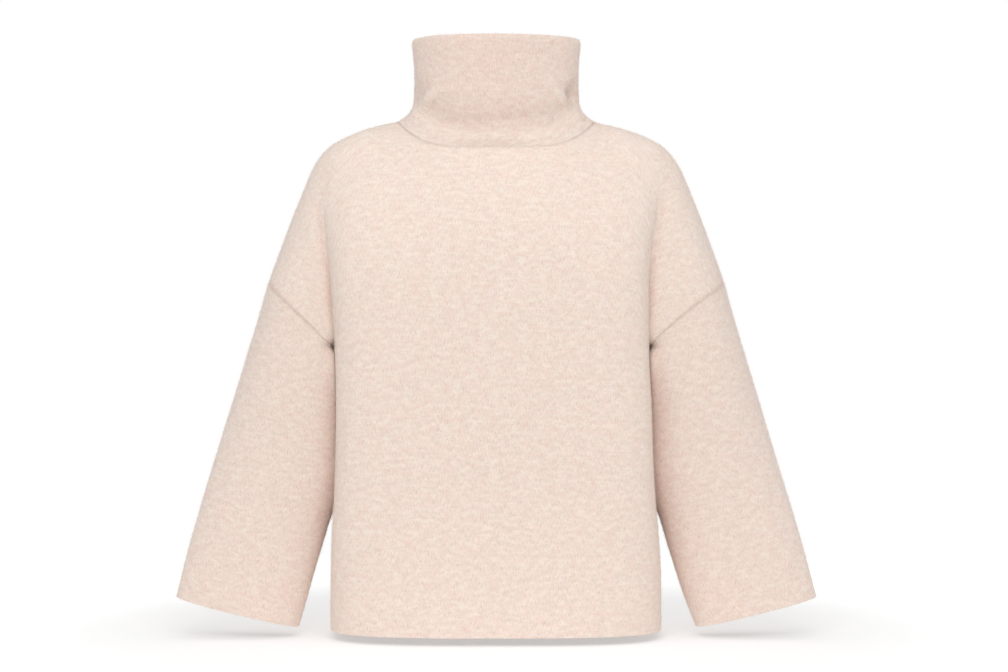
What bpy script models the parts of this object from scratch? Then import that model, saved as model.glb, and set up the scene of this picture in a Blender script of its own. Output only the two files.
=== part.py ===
"""Mock neck sweater in its worn, hollow form: five cut and sewn pieces of brushed wool knit.

Metres, front facing -Y, +X to the wearer's left, +Z up.  The origin is the middle of the neck
opening, level with the tops of the shoulders.  Tables are in millimetres, a row for each section.
The front and the back meet in the plane y = 0, at the side seams and the shoulder seams.
"""
from collections import namedtuple

import bmesh
import bpy
import numpy as np

MM = 0.001
WALL = 2.8 * MM                # one layer of felted knit
SEAM_GAP = 0.3 * MM            # clear space between two sewn pieces
SLEEVE_CLEARANCE = 1.2 * MM    # sleeve to the side of the body it lies against

HEM_Z = -592 * MM
PIT_Z = -262 * MM              # where side seam, sleeve seam and armhole meet
NECKLINE_Z = {"front": -32 * MM, "back": -12 * MM}       # at the middle
NECKLINE_POWER = {"front": 4.2, "back": 2.6}             # higher is flatter in the middle
NECK_X = 116 * MM              # shoulder end of the neckline
COLLAR_TOP_Z = 98 * MM

# Body sections: half width on the wearer's right and left, half depth to the front and the back.
# A higher power makes a flatter front with a tighter turn to the sides.
BodyRow = namedtuple("BodyRow", "z right left front back power")
BODY = [
    BodyRow(40, 216, 206, 118, 106, 3.5),
    BodyRow(-50, 208, 197, 118, 107, 4.5),
    BodyRow(-100, 203, 188, 119, 109, 6),
    BodyRow(-150, 200, 183, 120, 111, 6),
    BodyRow(-200, 197, 180, 121, 111.5, 6),
    BodyRow(-262, 193, 178, 119.5, 111, 6),
    BodyRow(-330, 190, 180, 118, 111, 6),
    BodyRow(-390, 190, 182, 117, 112, 5.5),
    BodyRow(-440, 191, 185, 116.5, 112.5, 5),
    BodyRow(-480, 192, 188.5, 116.5, 113, 4.5),
    BodyRow(-530, 193, 192, 116, 113, 3.8),
    BodyRow(-592, 193.6, 192.6, 115.5, 112.5, 3.2),
]

# Top edge of the garment seen from the front: the line of the shoulder inside the neck opening,
# the shoulder seam, then the outer fold of the sleeve down to the cuff.
OutlineRow = namedtuple("OutlineRow", "x z")
INSIDE_NECK = [OutlineRow(0, 30), OutlineRow(50, 26), OutlineRow(88, 13)]
SHOULDER = [
    OutlineRow(116, 3.5),
    OutlineRow(131, 0),
    OutlineRow(154, -5.9),
    OutlineRow(170, -11.8),
    OutlineRow(182.7, -17.7),
    OutlineRow(193, -23.6),
    OutlineRow(201.5, -31),
    OutlineRow(209.8, -41.3),
    OutlineRow(216.4, -53),
    OutlineRow(226.2, -76.7),
    OutlineRow(235.4, -100),
    OutlineRow(253, -147.5),
    OutlineRow(267.3, -187),
]
OUTER_SLEEVE = [
    OutlineRow(280, -230),
    OutlineRow(294.6, -277),
    OutlineRow(309, -324.5),
    OutlineRow(326.9, -383.5),
    OutlineRow(344.8, -442.5),
    OutlineRow(361.9, -501.5),
    OutlineRow(376.5, -555.5),
]
CUFF_OUTER = OUTER_SLEEVE[-1]

# Inner line of the arm: fades into the chest above the armpit, becomes the sleeve's inner fold.
InnerRow = namedtuple("InnerRow", "z right left")
INNER_LINE = [
    InnerRow(0, 138, 130),
    InnerRow(-40, 140, 128),
    InnerRow(-75, 168, 152),
    InnerRow(-110, 180, 163),
    InnerRow(-150, 186, 169),
    InnerRow(-200, 186, 169),
    InnerRow(-235, 184, 168),
    InnerRow(-262, 193, 178),
    InnerRow(-300, 184, 174),
    InnerRow(-350, 178, 173),
    InnerRow(-400, 178, 174),
    InnerRow(-430, 184, 181),
    InnerRow(-460, 193.5, 191),
    InnerRow(-490, 203, 200.6),
    InnerRow(-548, 220.5, 219),
    InnerRow(-590, 232.8, 234.5),
]
CUFF_INNER = INNER_LINE[-1]

# Arm sections: half depth, what the cloth drawn over from the chest adds to it at the inner line,
# and how far the sleeve's middle hangs to the front.
ArmRow = namedtuple("ArmRow", "z depth drawn forward")
ARM = [
    ArmRow(20, 52, 0, 0),
    ArmRow(-50, 58, 3, 0),
    ArmRow(-100, 64, 13, 0),
    ArmRow(-150, 69, 20, 0),
    ArmRow(-200, 72, 16, 0),
    ArmRow(-262, 71, 6, 0),
    ArmRow(-320, 65, 0, 2),
    ArmRow(-380, 56, 0, 5),
    ArmRow(-440, 47, 0, 8),
    ArmRow(-500, 40, 0, 11),
    ArmRow(-560, 36, 0, 13),
    ArmRow(-600, 35, 0, 14),
]

# Armhole seam on the front and the back, from the armpit to the shoulder seam's outer end.
ArmholeRow = namedtuple("ArmholeRow", "right left z")
ARMHOLE = [
    ArmholeRow(193, 178, -262),
    ArmholeRow(200, 185.5, -250.5),
    ArmholeRow(211, 198, -239),
    ArmholeRow(225, 213, -226),
    ArmholeRow(243, 235, -209.5),
    ArmholeRow(267.3, 267.3, -187),
]

# Collar: the neck's half width and half depth by height, and how it stands out from the neck
# above its seam at the side, the front and the back.  The flare row is the share that is left of
# the distance between the seam and the neck.
NeckRow = namedtuple("NeckRow", "z width depth forward")
NECK = [
    NeckRow(-40, 97, 72.5, 8.5),
    NeckRow(0, 97, 72, 9.5),
    NeckRow(40, 96.6, 72, 11),
    NeckRow(65, 96.4, 72.5, 12.5),
    NeckRow(85, 98, 74, 13.5),
    NeckRow(93, 98.6, 74.5, 14),
    NeckRow(98, 97.6, 73.5, 14),
]
FlareRow = namedtuple("FlareRow", "above_seam share front_roll")
FLARE = [
    FlareRow(0, 1.00, 0.0),
    FlareRow(2, 0.82, 1.2),
    FlareRow(5, 0.56, 3.0),
    FlareRow(9, 0.31, 4.2),
    FlareRow(13, 0.16, 2.4),
    FlareRow(18, 0.07, -3.2),
    FlareRow(23, 0.03, -6.4),
    FlareRow(29, 0.01, -6.4),
    FlareRow(38, 0.00, -3.6),
    FlareRow(50, 0.00, -0.6),
    FlareRow(64, 0.00, 1.0),
    FlareRow(90, 0.00, 0.6),
    FlareRow(140, 0.00, 0.0),
]

# Soft folds of the collar.  Angle in degrees from the front middle, + to the wearer's left.
# Length and width are half sizes, tilt is the rise to the wearer's left in degrees.
FoldRow = namedtuple("FoldRow", "angle z length width tilt height")
COLLAR_FOLDS = [
    FoldRow(-70, 42, 17, 11, -62, -6.0),
    FoldRow(-64, 20, 28, 5.5, 28, 6.0),
    FoldRow(70, 33, 15, 10, 52, -9.0),
    FoldRow(62, 20, 29, 5.5, -30, 7.0),
    FoldRow(14, 4, 24, 7, 4, -1.6),
    FoldRow(-28, -2, 24, 8, -5, -1.2),
    FoldRow(132, 30, 26, 9, -18, -3.4),
    FoldRow(-140, 26, 30, 9, 12, -3.0),
    FoldRow(172, 12, 34, 9, 3, -2.2),
]

# Numbers of cells.  A half panel is a body block, from the middle to the side seam and the crease
# above it, and an arm block between the crease, the shoulder seam and the armhole.
ROWS_BELOW_PIT = 9
ROWS_ABOVE_PIT = 12
BODY_COLUMNS = 18
NECK_COLUMNS = 9               # of the body's columns, those that end on the neckline
FRONT_COLUMNS = 12             # of the body's columns, those on the flat front
ARM_COLUMNS = 5
SLEEVE_ROWS = 11
COLLAR_ROWS = 12
FINE = 320                     # points along a line before the cloth is shared out evenly
SHOULDER_STEPS = 130           # along the shoulder seam, and as many along the outer sleeve
CREASE_ROW_POWER = 1.15        # over 1 brings the rows closer together at the armpit
COLLAR_ROW_POWER = 1.25        # over 1 brings the rings closer together at the seam
HALVINGS = 40                  # in the search for the crease

TURN_X = 0.92                  # share of the half width where the front turns to the side
ARM_ROUNDING = 2.4
FOLD_ROUNDING = 3.5            # the upper arm turns in tightly beside the chest
FOLD_TIGHT_Z = (-340 * MM, -262 * MM)    # heights between which the inner fold tightens
SHOULDER_ROUNDING = 1.8
SHOULDER_FALL = 190 * MM       # below the shoulder line the body has its full depth
SHOULDER_CAP_RADIUS = (46 * MM, 53 * MM)
CREASE_RADIUS = (3 * MM, 24 * MM)        # at the armpit, and where it fades into the shoulder
CREASE_SOFT_Z = (-115 * MM, -45 * MM)    # heights between which it softens
ARM_SLOPE_COS = 0.956          # the arm hangs 17 degrees off the vertical
FLATTENED_EDGE = 6 * MM        # softness where the body presses the sleeve flat
CREASE_TOP_X = 193 * MM        # where the crease's line meets the shoulder seam
CREASE_FADE = (-110 * MM, -45 * MM)      # heights between which the crease's line turns to there
ARMHOLE_LOWER_SHARE = 0.42     # of the seam, from the armpit to the arm block's lower corner
NECK_EDGE_LEAN = 0.8           # rise over run of the cloth where body and collar are sewn
FOLD_RADIUS = 88 * MM          # of the neck, turns the folds' angles into lengths
FOLD_FADE = (8 * MM, 12 * MM)  # from the collar's seam and its top edge, the folds come in softly
ROLL_POWER = 0.7               # the roll over the seam runs far round to the sides
BACK_ROLL = 0.5                # share of the front's roll
SLOPE_STEP = 0.5 * MM          # half the distance over which a slope is measured
WELD = 0.01 * MM               # points closer than this are one
SHARP_ANGLE = 1.0              # radians; the walls' rims stay crisp
TINY = 1e-9

SIDES = {"right": -1.0, "left": 1.0}     # the wearer's right is at -X
FACES = {"front": -1.0, "back": 1.0}
WOOL_COLOUR = (0.80, 0.66, 0.57, 1.0)


def smooth_through(places, values):
    """A smooth curve through a table's rows that never overshoots between them."""
    order = np.argsort(places)
    x = np.array(places, float)[order] * MM
    y = np.array(values, float)[order]
    step = np.diff(x)
    slope = np.diff(y) / step
    tangent = np.empty_like(y)
    tangent[0] = slope[0]
    tangent[-1] = slope[-1]
    for i in range(1, len(y) - 1):
        before, after = slope[i - 1], slope[i]
        if before * after <= 0:
            tangent[i] = 0
            continue
        w_before = 2 * step[i] + step[i - 1]
        w_after = step[i] + 2 * step[i - 1]
        tangent[i] = (w_before + w_after) / (w_before / before + w_after / after)

    def value(at):
        at = np.clip(at, x[0], x[-1])
        i = np.clip(np.searchsorted(x, at, side="right") - 1, 0, len(step) - 1)
        s = (at - x[i]) / step[i]
        rise = y[i] * (1 + 2 * s) * (1 - s) ** 2 + y[i + 1] * s * s * (3 - 2 * s)
        lean = tangent[i] * s * (1 - s) ** 2 + tangent[i + 1] * s * s * (s - 1)
        return rise + lean * step[i]

    return value


def column(rows, name, along="z", scale=MM):
    places = [getattr(row, along) for row in rows]
    curve = smooth_through(places, [getattr(row, name) for row in rows])
    return lambda at: curve(at) * scale


def run_along(points):
    """Length along a line of points, or along each of several lines."""
    steps = np.linalg.norm(np.diff(points, axis=0), axis=-1)
    return np.concatenate((np.zeros_like(steps[:1]), np.cumsum(steps, axis=0)))


def polyline(rows, steps):
    """Evenly spaced points of the smooth curve through rows of x and z."""
    corners = np.array([(row.x, row.z) for row in rows]) * MM
    run = run_along(corners)
    at = np.linspace(0, run[-1], steps + 1)
    return np.stack([smooth_through(run / MM, corners[:, k])(at) for k in (0, 1)], axis=1)


BODY_WIDTH = {side: column(BODY, side) for side in SIDES}
BODY_DEPTH = {face: column(BODY, face) for face in FACES}
BODY_POWER = column(BODY, "power", scale=1)
INNER_X = {side: column(INNER_LINE, side) for side in SIDES}
ARM_DEPTH = column(ARM, "depth")
ARM_DRAWN = column(ARM, "drawn")
ARM_FORWARD = column(ARM, "forward")
SHOULDER_Z = column(INSIDE_NECK + SHOULDER, "z", along="x")
OUTER_EDGE = polyline(SHOULDER + OUTER_SLEEVE, 2 * SHOULDER_STEPS)
SHOULDER_SEAM = polyline(SHOULDER, SHOULDER_STEPS)
NECK_WIDTH = column(NECK, "width")
NECK_DEPTH = column(NECK, "depth")
NECK_FORWARD = column(NECK, "forward")
FLARE_SHARE = column(FLARE, "share", along="above_seam", scale=1)
FRONT_ROLL = column(FLARE, "front_roll", along="above_seam")


def rounded(share, power):
    """Rises from 0 at an edge to 1 inside, along a superellipse."""
    inside = 1 - np.clip(share, 0, 1)
    return (1 - inside ** power) ** (1 / power)


def eased(value, start, end):
    """Rises smoothly from 0 at start to 1 at end."""
    share = np.clip((value - start) / (end - start), 0, 1)
    return share * share * (3 - 2 * share)


def soft_max(a, b, radius):
    reach = np.maximum(np.minimum(radius, np.maximum(a, b)), TINY)
    overlap = np.maximum(reach - np.abs(a - b), 0) / reach
    return np.maximum(a, b) + overlap ** 2 * reach / 4


def distance_to_outer_edge(x, z):
    """Distance of each point to the garment's outer line; x counts away from the middle."""
    start, end = OUTER_EDGE[:-1], OUTER_EDGE[1:]
    along = end - start
    points = np.stack([x, z], axis=-1)[..., None, :]
    share = ((points - start) * along).sum(-1) / (along ** 2).sum(-1)
    nearest = start + np.clip(share, 0, 1)[..., None] * along
    return np.sqrt(((points - nearest) ** 2).sum(-1)).min(-1)


def arm_depth(x, z, side):
    """Half depth of the arm's tube at a point seen from the front."""
    to_outer = distance_to_outer_edge(x, z)
    to_inner = np.maximum(x - INNER_X[side](z), 0) * ARM_SLOPE_COS
    radius = (to_outer + to_inner) / 2
    radius = np.where(z > PIT_Z, np.clip(radius, *SHOULDER_CAP_RADIUS), radius)
    radius = np.maximum(radius, TINY)
    tight = ARM_ROUNDING + (FOLD_ROUNDING - ARM_ROUNDING) * eased(z, *FOLD_TIGHT_Z)
    edges = rounded(to_outer / radius, ARM_ROUNDING) * rounded(to_inner / radius, tight)
    drawn = ARM_DRAWN(z) * np.clip(1 - to_inner / radius, 0, 1) ** 2
    return (ARM_DEPTH(z) + drawn) * edges


def trunk_depth(x, z, side, face):
    """Half depth of the body without its arms."""
    across = rounded(1 - x / BODY_WIDTH[side](z), BODY_POWER(z))
    below_shoulder = (SHOULDER_Z(x) - z) / SHOULDER_FALL
    return BODY_DEPTH[face](z) * across * rounded(below_shoulder, SHOULDER_ROUNDING)


def body_depth(x, z, side, face):
    """Half depth of body and upper arm together, with the crease between them."""
    trunk = trunk_depth(x, z, side, face)
    above_pit = z > PIT_Z
    arm = np.where(above_pit, arm_depth(x, z, side), 0)
    radius = CREASE_RADIUS[0] + (CREASE_RADIUS[1] - CREASE_RADIUS[0]) * eased(z, *CREASE_SOFT_Z)
    return np.where(above_pit, soft_max(trunk, arm, radius), trunk)


def share_out(points, fractions):
    """Points at the given shares of a line's length."""
    run = run_along(points)
    return np.stack([np.interp(fractions * run[-1], run, points[:, k]) for k in range(3)], axis=1)


def armhole_seam(side):
    """Points of the armhole seam from the armpit to the shoulder seam, y as a half depth."""
    corners = np.array([(getattr(row, side), row.z) for row in ARMHOLE]) * MM
    run = run_along(corners)
    at = run[-1] * (1 - np.cos(np.linspace(0, np.pi, FINE))) / 2
    x, z = (smooth_through(run / MM, corners[:, k])(at) for k in (0, 1))
    depth = arm_depth(x, z, side)
    depth[0] = depth[-1] = 0
    lower = np.linspace(0, ARMHOLE_LOWER_SHARE, ARM_COLUMNS + 1)
    upper = np.linspace(ARMHOLE_LOWER_SHARE, 1, ROWS_ABOVE_PIT + 1)
    return share_out(np.stack([x, depth, z], axis=1), np.concatenate((lower, upper[1:])))


def crease_line(side, face):
    """The deepest line between chest and arm, from the armpit up to the shoulder seam."""
    top_z = float(SHOULDER_Z(CREASE_TOP_X))
    z = PIT_Z + (top_z - PIT_Z) * np.linspace(0, 1, ROWS_ABOVE_PIT + 1) ** CREASE_ROW_POWER
    low, high = INNER_X[side](z), BODY_WIDTH[side](z)
    for _ in range(HALVINGS):
        middle = (low + high) / 2
        on_trunk = trunk_depth(middle, z, side, face) > arm_depth(middle, z, side)
        low, high = np.where(on_trunk, middle, low), np.where(on_trunk, high, middle)
    fade = eased(z, *CREASE_FADE)
    x = (1 - fade) * low + fade * CREASE_TOP_X
    return np.stack([x, z], axis=1)


def neckline(face):
    """The neckline's x and z from the middle to the shoulder."""
    share = np.sin(np.linspace(0, np.pi / 2, FINE))
    rise = (SHOULDER[0].z * MM - NECKLINE_Z[face]) * share ** NECKLINE_POWER[face]
    return np.stack([share * NECK_X, NECKLINE_Z[face] + rise], axis=1)


def cloth_row(line, depth, fractions, side, face, kept=()):
    """Cloth points shared out along a line seen from the front; kept ones stay as they are."""
    row = share_out(np.stack([line[:, 0], depth, line[:, 1]], axis=1), fractions)
    moved = np.setdiff1d(np.arange(len(row)), np.arange(len(row))[list(kept)])
    row[moved, 1] = body_depth(row[moved, 0], row[moved, 2], side, face)
    return row


def turn_share(line, depth, width):
    """Share of a row's length at which the flat front turns to the side."""
    run = run_along(np.stack([line[:, 0], depth, line[:, 1]], axis=1))
    return np.interp(TURN_X * width, line[:, 0], run) / run[-1]


def body_block(side, face):
    """Rows from the hem to the shoulder, columns from the middle to side seam and crease."""
    spread = np.sin(np.linspace(0, np.pi / 2, FINE))
    rows = []
    for z in np.linspace(HEM_Z, PIT_Z, ROWS_BELOW_PIT + 1):
        line = np.stack([spread * BODY_WIDTH[side](z), np.full(FINE, z)], axis=1)
        depth = trunk_depth(line[:, 0], line[:, 1], side, face)
        depth[-1] = 0
        turn = turn_share(line, depth, BODY_WIDTH[side](z))
        fractions = np.concatenate((np.linspace(0, turn, FRONT_COLUMNS + 1),
                                    np.linspace(turn, 1, BODY_COLUMNS - FRONT_COLUMNS + 1)[1:]))
        rows.append(cloth_row(line, depth, fractions, side, face, kept=[-1]))
    pit_row = line
    crease = crease_line(side, face)
    inside_crease = SHOULDER_SEAM[SHOULDER_SEAM[:, 0] < CREASE_TOP_X]
    neck = neckline(face)
    top = np.concatenate((neck, inside_crease[1:], crease[-1:]))
    corner = len(neck) - 1
    neck_share = NECK_COLUMNS / BODY_COLUMNS
    share = np.concatenate((np.linspace(0, neck_share, corner + 1),
                            np.linspace(neck_share, 1, len(top) - corner)[1:]))
    low = np.stack([np.interp(share, np.linspace(0, 1, FINE), pit_row[:, k]) for k in (0, 1)],
                   axis=1)
    for i in range(1, ROWS_ABOVE_PIT + 1):
        t = i / ROWS_ABOVE_PIT
        straight = (1 - t) * low + t * top
        line = straight + share[:, None] * (crease[i] - straight[-1])
        depth = body_depth(line[:, 0], line[:, 1], side, face)
        last = i == ROWS_ABOVE_PIT
        if last:
            depth[corner:] = 0
        length = run_along(np.stack([line[:, 0], depth, line[:, 1]], axis=1))
        turn = turn_share(line, depth, BODY_WIDTH[side](crease[i, 1]))
        ease = t * t * (3 - 2 * t)
        neck_at = ((1 - ease) * turn * NECK_COLUMNS / FRONT_COLUMNS
                   + ease * length[corner] / length[-1])
        beyond = (FRONT_COLUMNS - NECK_COLUMNS) / (BODY_COLUMNS - NECK_COLUMNS)
        turn = (1 - ease) * turn + ease * (neck_at + (1 - neck_at) * beyond)
        fractions = np.concatenate((
            np.linspace(0, neck_at, NECK_COLUMNS + 1),
            np.linspace(neck_at, turn, FRONT_COLUMNS - NECK_COLUMNS + 1)[1:],
            np.linspace(turn, 1, BODY_COLUMNS - FRONT_COLUMNS + 1)[1:]))
        kept = range(NECK_COLUMNS, BODY_COLUMNS + 1) if last else ()
        rows.append(cloth_row(line, depth, fractions, side, face, kept))
    return np.array(rows)


def arm_block(side, face, crease_points):
    """Rows from the armhole's lower part to the shoulder seam, columns from crease to armhole."""
    seam = armhole_seam(side)
    rows = [seam[:ARM_COLUMNS + 1]]
    share = (1 - np.cos(np.linspace(0, np.pi, FINE))) / 2
    low = share_out(seam[:ARM_COLUMNS + 1], share)[:, [0, 2]]
    outside_crease = SHOULDER_SEAM[SHOULDER_SEAM[:, 0] > CREASE_TOP_X]
    top = np.concatenate((crease_points[-1:, [0, 2]], outside_crease))
    top = share_out(np.stack([top[:, 0], top[:, 0] * 0, top[:, 1]], axis=1), share)[:, [0, 2]]
    even = np.linspace(0, 1, ARM_COLUMNS + 1)
    for i in range(1, ROWS_ABOVE_PIT + 1):
        t = i / ROWS_ABOVE_PIT
        straight = (1 - t) * low + t * top
        start, end = crease_points[i], seam[ARM_COLUMNS + i]
        line = (straight + (1 - share[:, None]) * (start[[0, 2]] - straight[0])
                + share[:, None] * (end[[0, 2]] - straight[-1]))
        last = i == ROWS_ABOVE_PIT
        depth = np.zeros(FINE) if last else body_depth(line[:, 0], line[:, 1], side, face)
        depth[0], depth[-1] = start[1], end[1]
        kept = range(ARM_COLUMNS + 1) if last else (0, -1)
        rows.append(cloth_row(line, depth, even, side, face, kept))
        rows[-1][0], rows[-1][-1] = start, end
    rows = np.array(rows)
    rows[0, 0] = crease_points[0]
    return rows


def unit(vectors):
    return vectors / np.maximum(np.linalg.norm(vectors, axis=-1, keepdims=True), TINY)


class Cloth:
    """Outer surface of one piece, gathered from grids that share their edge points."""

    def __init__(self):
        self.points = []
        self.faces = []
        self.numbers = {}
        self.held = {}

    def number(self, point):
        key = tuple(int(round(value)) for value in np.asarray(point) / WELD)
        if key not in self.numbers:
            self.numbers[key] = len(self.points)
            self.points.append(np.array(point, float))
        return self.numbers[key]

    def add_grid(self, grid, flipped, closed=False):
        """Rows run up; columns run to the right seen from outside, unless flipped."""
        numbers = [[self.number(point) for point in row] for row in grid]
        columns = len(numbers[0])
        for below, above in zip(numbers, numbers[1:]):
            for c in range(columns if closed else columns - 1):
                d = (c + 1) % columns
                corners = [below[c], below[d], above[d], above[c]]
                face = list(dict.fromkeys(reversed(corners) if flipped else corners))
                self.faces.append(face)

    def hold_normals(self, points, normals):
        """Edges that meet another piece lean as that piece's edges do."""
        for point, normal in zip(points, normals):
            self.held[self.number(point)] = np.array(normal, float)

    def level_normals(self, points):
        """Edges on the side and shoulder seams lean neither to the front nor to the back."""
        for point in points:
            self.held[self.number(point)] = None

    def normals(self):
        points = np.array(self.points)
        normals = np.zeros_like(points)
        for face in self.faces:
            corners = points[face]
            for k in range(len(face)):
                ahead = corners[(k + 1) % len(face)] - corners[k]
                behind = corners[k - 1] - corners[k]
                cross = np.cross(ahead, behind)
                size = np.linalg.norm(cross)
                turn = np.arctan2(size, ahead @ behind)
                normals[face[k]] += cross / max(size, TINY ** 2) * turn
        for number, normal in self.held.items():
            level = normals[number] * (1, 0, 1)
            normals[number] = level if normal is None else normal
        return unit(normals)

    def solid(self, name):
        """A closed wall: these points, the same points WALL further in, and a rim."""
        mesh = bmesh.new()
        outer = [mesh.verts.new(point) for point in self.points]
        inner = [mesh.verts.new(p) for p in np.array(self.points) - self.normals() * WALL]
        edges = {}
        for face in self.faces:
            mesh.faces.new([outer[k] for k in face])
            mesh.faces.new([inner[k] for k in reversed(face)])
            for start, end in zip(face, face[1:] + face[:1]):
                edges[start, end] = True
        for start, end in edges:
            if (end, start) not in edges:
                mesh.faces.new((outer[end], outer[start], inner[start], inner[end]))
        bmesh.ops.triangulate(mesh, faces=mesh.faces[:], quad_method="SHORT_EDGE")
        data = bpy.data.meshes.new(name)
        mesh.to_mesh(data)
        mesh.free()
        data.shade_smooth()
        data.set_sharp_from_angle(angle=SHARP_ANGLE)
        data.materials.append(wool(name))
        piece = bpy.data.objects.new(name, data)
        bpy.context.scene.collection.objects.link(piece)
        return piece


def seam_normals(side, seam):
    """Cloth normals along the armhole seam, from the arm's own form."""
    x, z = seam[:, 0], seam[:, 2]
    step = SLOPE_STEP
    slope_x = (arm_depth(x + step, z, side) - arm_depth(x - step, z, side)) / (2 * step)
    slope_z = (arm_depth(x, z + step, side) - arm_depth(x, z - step, side)) / (2 * step)
    normals = np.stack([-slope_x, np.ones(len(x)), -slope_z], axis=1)
    normals[0] = (-1, 0, 0)
    normals[-1] = (ARM_SLOPE_COS, 0, np.sqrt(1 - ARM_SLOPE_COS ** 2))
    return unit(normals)


def neckline_normals(points):
    """Where body and collar are sewn the cloth's edge leans half way between the two."""
    outward = points * (1, 1, 0)
    return unit(unit(outward) + (0, 0, NECK_EDGE_LEAN))


def wool(name):
    material = bpy.data.materials.new(name + "_wool")
    material.use_nodes = True
    shader = material.node_tree.nodes["Principled BSDF"]
    shader.inputs["Base Color"].default_value = WOOL_COLOUR
    shader.inputs["Roughness"].default_value = 0.95
    shader.inputs["Metallic"].default_value = 0.0
    return material


def panel(face):
    """Front or back panel.  Returns its neckline from the wearer's right to the left."""
    toward = FACES[face]
    cloth = Cloth()
    necklines = []
    for side, across in SIDES.items():
        outward = (across, toward, 1)
        body = body_block(side, face)
        arm = arm_block(side, face, body[ROWS_BELOW_PIT:, -1])
        for block in (body, arm):
            block[..., 1] = np.maximum(block[..., 1], SEAM_GAP / 2)
            cloth.add_grid(block * outward, flipped=across * toward > 0)
        cloth.level_normals(body[:ROWS_BELOW_PIT, -1] * outward)
        cloth.level_normals(body[-1, NECK_COLUMNS + 1:] * outward)
        cloth.level_normals(arm[-1, :-1] * outward)
        seam = np.concatenate((arm[0, 1:], arm[1:, -1]))
        cloth.hold_normals(seam * outward, seam_normals(side, armhole_seam(side))[1:] * outward)
        cloth.hold_normals(arm[:1, 0] * outward, [(0, 0, -1)])
        neck = body[-1, :NECK_COLUMNS + 1] * outward
        cloth.hold_normals(neck, neckline_normals(neck))
        necklines.append(neck)
    cloth.solid(face)
    right, left = necklines
    return np.concatenate((right[::-1], left[1:]))


def trunk_side(y, z, side):
    """Half width of the body's side at a depth, where the sleeve lies against it."""
    depth = np.where(y < 0, BODY_DEPTH["front"](z), BODY_DEPTH["back"](z))
    share = np.clip(np.abs(y) / depth, 0, 1)
    power = BODY_POWER(z)
    return BODY_WIDTH[side](z) * (1 - share ** power) ** (1 / power)


def sleeve(side):
    """Tube from the armhole seam to the cuff, pressed flat where it lies against the body."""
    seam = armhole_seam(side)
    length = run_along(seam)
    seam_shares = length / length[-1]
    even = np.linspace(0, 1, len(seam))
    spread = (1 - np.cos(np.linspace(0, np.pi, FINE))) / 2
    top = share_out(seam, spread)[:, [0, 2]]
    cuff_inner = np.array((getattr(CUFF_INNER, side), CUFF_INNER.z)) * MM
    cuff_outer = np.array(CUFF_OUTER) * MM
    cuff = cuff_inner + spread[:, None] * (cuff_outer - cuff_inner)
    outer_line = polyline([SHOULDER[-1]] + OUTER_SLEEVE, SLEEVE_ROWS)
    rings = []
    for i in range(SLEEVE_ROWS + 1):
        t = i / SLEEVE_ROWS
        inner_z = (1 - t) * PIT_Z + t * cuff_inner[1]
        inner_end = np.array((INNER_X[side](inner_z), inner_z))
        straight = (1 - t) * top + t * cuff
        line = (straight + (1 - spread[:, None]) * (inner_end - straight[0])
                + spread[:, None] * (outer_line[i] - straight[-1]))
        depth = arm_depth(line[:, 0], line[:, 1], side)
        depth[0] = depth[-1] = 0
        shares = (1 - t) * seam_shares + t * even
        half = share_out(np.stack([line[:, 0], depth, line[:, 1]], axis=1), shares)
        half[1:-1, 1] = arm_depth(half[1:-1, 0], half[1:-1, 2], side)
        half = seam if i == 0 else half
        ring = np.concatenate((half * (1, -1, 1), half[-2:0:-1]))
        ring[:, 1] -= ARM_FORWARD(ring[:, 2])
        if i > 0:
            beside = trunk_side(ring[:, 1], ring[:, 2], side) + SLEEVE_CLEARANCE
            ring[:, 0] = soft_max(ring[:, 0], beside, FLATTENED_EDGE)
        rings.append(ring)
    rings = np.array(rings)
    rings[0] += unit(rings[1] - rings[0]) * SEAM_GAP
    beside = trunk_side(rings[0, :, 1], rings[0, :, 2], side) + 2 * SEAM_GAP
    rings[0, :, 0] = np.maximum(rings[0, :, 0], beside)
    across = SIDES[side]
    outward = (across, 1, 1)
    cloth = Cloth()
    cloth.add_grid(rings[::-1] * outward, flipped=across < 0, closed=True)
    on_seam = seam_normals(side, seam)
    on_seam = np.concatenate((on_seam * (1, -1, 1), on_seam[-2:0:-1]))
    cloth.hold_normals(rings[0] * outward, on_seam * outward)
    return cloth.solid("sleeve_" + side)


def fold_height(angle, z):
    """How far the collar's soft folds stand out at an angle and a height."""
    total = np.zeros_like(z)
    for fold in COLLAR_FOLDS:
        turn = (np.degrees(angle) - fold.angle + 180) % 360 - 180
        around = np.radians(turn) * FOLD_RADIUS
        up = z - fold.z * MM
        tilt = np.radians(fold.tilt)
        along = (around * np.cos(tilt) + up * np.sin(tilt)) / (fold.length * MM)
        across = (up * np.cos(tilt) - around * np.sin(tilt)) / (fold.width * MM)
        total += fold.height * MM * np.exp(-along ** 2 - across ** 2)
    return total


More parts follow.
